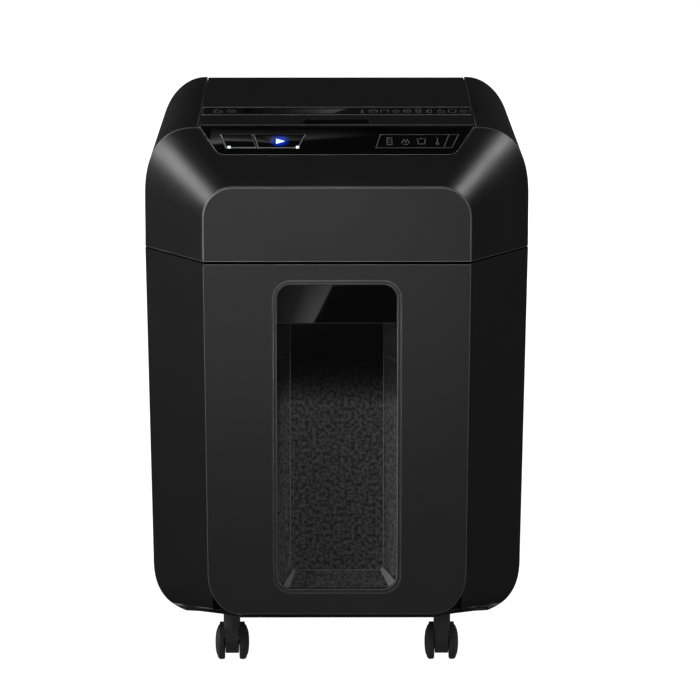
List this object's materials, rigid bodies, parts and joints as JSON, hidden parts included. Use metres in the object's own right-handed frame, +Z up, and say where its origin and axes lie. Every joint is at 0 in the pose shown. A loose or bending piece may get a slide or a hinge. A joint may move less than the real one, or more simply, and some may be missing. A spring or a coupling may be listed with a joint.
{
  "type": "paper shredder",
  "caption": "Auto-feed paper shredder on twin-wheel casters, with a rear-hinged lid over the sheet tray, a hand-feed slot, meshing cutters and a windowed pull-out bin.",
  "frame": {"origin": "on the floor under the middle of the machine, at the centre of its width and depth", "axes": "+Z up, +Y towards the rear, so the front faces -Y; +X towards the right hand of someone who faces the front"},
  "size_m": [0.364, 0.416, 0.515],
  "materials": {
    "charcoal_satin": "satin charcoal front panels",
    "black_plastic": "fine-textured black housing plastic",
    "gloss_black": "polished black",
    "smoked_window": "smoked transparent plastic",
    "arrow_light": "lit light guide",
    "inner_plastic": "plain dark grey moulding",
    "zinc_steel": "zinc-plated and turned steel",
    "cutter_steel": "hardened, oiled steel",
    "nylon": "natural nylon",
    "feed_rubber": "matt rubber",
    "circuit_board": "green lacquered board",
    "caster_nylon": "semi-matt black nylon"
  },
  "bodies": {
    "cabinet": {"left_side_panel": "black_plastic", "right_side_panel": "black_plastic", "rear_panel": "black_plastic", "base_pan": "black_plastic", "head_chassis": "inner_plastic", "front_bezel": "black_plastic", "left_shoulder": "black_plastic", "right_shoulder": "black_plastic", "rear_cover": "black_plastic", "head_front_panel": "charcoal_satin", "control_panel": "gloss_black", "indicator_lens": "smoked_window", "control_board": "circuit_board", "cord_gland": "feed_rubber", "feed_tray": "black_plastic", "throat_guide": "inner_plastic", "left_side_plate": "zinc_steel", "right_side_plate": "zinc_steel", "front_stripper_comb": "inner_plastic", "rear_stripper_comb": "inner_plastic", "drive_motor": "zinc_steel", "lid_hinge_pin_left": "zinc_steel", "lid_hinge_pin_right": "zinc_steel"},
    "bin": {"bin_front_panel": "charcoal_satin", "window_trim_ring": "charcoal_satin", "window_pane": "smoked_window", "handle_panel": "gloss_black", "bin_tub": "inner_plastic"},
    "lid": {"lid": "black_plastic", "lid_gloss_strip": "gloss_black", "pressure_leaf_spring": "zinc_steel"},
    "pressure_plate": {"pressure_plate": "inner_plastic"},
    "power_button": {"power_button": "gloss_black"},
    "forward_button": {"forward_button": "gloss_black", "arrow_light_guide": "arrow_light"},
    "rear_rocker": {"rear_power_rocker": "gloss_black"},
    "rear_cutters": {"rear_cutter_shaft": "zinc_steel", "rear_cutter_discs": "cutter_steel", "rear_cutter_gear": "zinc_steel"},
    "front_cutters": {"front_cutter_shaft": "zinc_steel", "front_cutter_discs": "cutter_steel", "front_cutter_gear": "zinc_steel"},
    "feed_rollers": {"feed_shaft": "zinc_steel", "feed_gear": "nylon", "feed_roller_left": "feed_rubber", "feed_roller_right": "feed_rubber"},
    "reduction": {"reduction_gear": "nylon"},
    "pinion": {"motor_pinion": "zinc_steel"},
    "caster_front_left": {"caster_front_left_housing": "caster_nylon"},
    "caster_front_left_left_wheel": {"caster_front_left_wheel_left": "caster_nylon"},
    "caster_front_left_right_wheel": {"caster_front_left_wheel_right": "caster_nylon"},
    "caster_front_right": {"caster_front_right_housing": "caster_nylon"},
    "caster_front_right_left_wheel": {"caster_front_right_wheel_left": "caster_nylon"},
    "caster_front_right_right_wheel": {"caster_front_right_wheel_right": "caster_nylon"},
    "caster_rear_left": {"caster_rear_left_housing": "caster_nylon"},
    "caster_rear_left_left_wheel": {"caster_rear_left_wheel_left": "caster_nylon"},
    "caster_rear_left_right_wheel": {"caster_rear_left_wheel_right": "caster_nylon"},
    "caster_rear_right": {"caster_rear_right_housing": "caster_nylon"},
    "caster_rear_right_left_wheel": {"caster_rear_right_wheel_left": "caster_nylon"},
    "caster_rear_right_right_wheel": {"caster_rear_right_wheel_right": "caster_nylon"}
  },
  "joints": [
    {"name": "bin_slide", "type": "slide", "parent": "cabinet", "child": "bin", "axis": [0, -1, 0], "range_m": [0, 0.3]},
    {"name": "lid_hinge", "type": "hinge", "parent": "cabinet", "child": "lid", "pos_m": [0, 0.195, 0.505], "axis": [-1, 0, 0], "range_deg": [0, 80]},
    {"name": "pressure_plate_lift", "type": "slide", "parent": "lid", "child": "pressure_plate", "axis": [0, 0, 1], "range_m": [0, 0.008], "stiffness_N_per_m": 60, "springref_m": -0.01, "deforming": ["pressure_leaf_spring"]},
    {"name": "power_button_press", "type": "slide", "parent": "cabinet", "child": "power_button", "axis": [0, 0.4707, -0.8823], "range_m": [0, 0.001], "stiffness_N_per_m": 500, "springref_m": -0.0005},
    {"name": "forward_button_press", "type": "slide", "parent": "cabinet", "child": "forward_button", "axis": [0, 0.4707, -0.8823], "range_m": [0, 0.001], "stiffness_N_per_m": 500, "springref_m": -0.0005},
    {"name": "rear_rocker_tilt", "type": "hinge", "parent": "cabinet", "child": "rear_rocker", "pos_m": [-0.12, 0.203, 0.452], "axis": [1, 0, 0], "range_deg": [0, 14]},
    {"name": "rear_cutters_spin", "type": "hinge", "parent": "cabinet", "child": "rear_cutters", "pos_m": [0, -0.09, 0.432], "axis": [1, 0, 0], "continuous": true},
    {"name": "front_cutters_spin", "type": "hinge", "parent": "cabinet", "child": "front_cutters", "pos_m": [0, -0.123, 0.432], "axis": [1, 0, 0], "continuous": true},
    {"name": "feed_rollers_spin", "type": "hinge", "parent": "cabinet", "child": "feed_rollers", "pos_m": [0, -0.07601, 0.47001], "axis": [1, 0, 0], "continuous": true},
    {"name": "reduction_spin", "type": "hinge", "parent": "cabinet", "child": "reduction", "pos_m": [0, -0.0615, 0.432], "axis": [1, 0, 0], "continuous": true},
    {"name": "pinion_spin", "type": "hinge", "parent": "cabinet", "child": "pinion", "pos_m": [0, -0.0225, 0.432], "axis": [1, 0, 0], "continuous": true},
    {"name": "caster_front_left_swivel", "type": "hinge", "parent": "cabinet", "child": "caster_front_left", "pos_m": [-0.1005, -0.172, 0.045], "axis": [0, 0, 1], "continuous": true},
    {"name": "caster_front_left_left_roll", "type": "hinge", "parent": "caster_front_left", "child": "caster_front_left_left_wheel", "pos_m": [-0.1117, -0.16, 0.017], "axis": [1, 0, 0], "continuous": true},
    {"name": "caster_front_left_right_roll", "type": "hinge", "parent": "caster_front_left", "child": "caster_front_left_right_wheel", "pos_m": [-0.0893, -0.16, 0.017], "axis": [1, 0, 0], "continuous": true},
    {"name": "caster_front_right_swivel", "type": "hinge", "parent": "cabinet", "child": "caster_front_right", "pos_m": [0.1005, -0.172, 0.045], "axis": [0, 0, 1], "continuous": true},
    {"name": "caster_front_right_left_roll", "type": "hinge", "parent": "caster_front_right", "child": "caster_front_right_left_wheel", "pos_m": [0.0893, -0.16, 0.017], "axis": [1, 0, 0], "continuous": true},
    {"name": "caster_front_right_right_roll", "type": "hinge", "parent": "caster_front_right", "child": "caster_front_right_right_wheel", "pos_m": [0.1117, -0.16, 0.017], "axis": [1, 0, 0], "continuous": true},
    {"name": "caster_rear_left_swivel", "type": "hinge", "parent": "cabinet", "child": "caster_rear_left", "pos_m": [-0.109, 0.15, 0.045], "axis": [0, 0, 1], "continuous": true},
    {"name": "caster_rear_left_left_roll", "type": "hinge", "parent": "caster_rear_left", "child": "caster_rear_left_left_wheel", "pos_m": [-0.1202, 0.162, 0.017], "axis": [1, 0, 0], "continuous": true},
    {"name": "caster_rear_left_right_roll", "type": "hinge", "parent": "caster_rear_left", "child": "caster_rear_left_right_wheel", "pos_m": [-0.0978, 0.162, 0.017], "axis": [1, 0, 0], "continuous": true},
    {"name": "caster_rear_right_swivel", "type": "hinge", "parent": "cabinet", "child": "caster_rear_right", "pos_m": [0.109, 0.15, 0.045], "axis": [0, 0, 1], "continuous": true},
    {"name": "caster_rear_right_left_roll", "type": "hinge", "parent": "caster_rear_right", "child": "caster_rear_right_left_wheel", "pos_m": [0.0978, 0.162, 0.017], "axis": [1, 0, 0], "continuous": true},
    {"name": "caster_rear_right_right_roll", "type": "hinge", "parent": "caster_rear_right", "child": "caster_rear_right_right_wheel", "pos_m": [0.1202, 0.162, 0.017], "axis": [1, 0, 0], "continuous": true}
  ],
  "couplings": [
    {"joint": "front_cutters_spin", "follows": "rear_cutters_spin", "ratio": -1},
    {"joint": "feed_rollers_spin", "follows": "rear_cutters_spin", "ratio": -0.6875},
    {"joint": "reduction_spin", "follows": "rear_cutters_spin", "ratio": -1.375},
    {"joint": "pinion_spin", "follows": "rear_cutters_spin", "ratio": 4.5833}
  ]
}
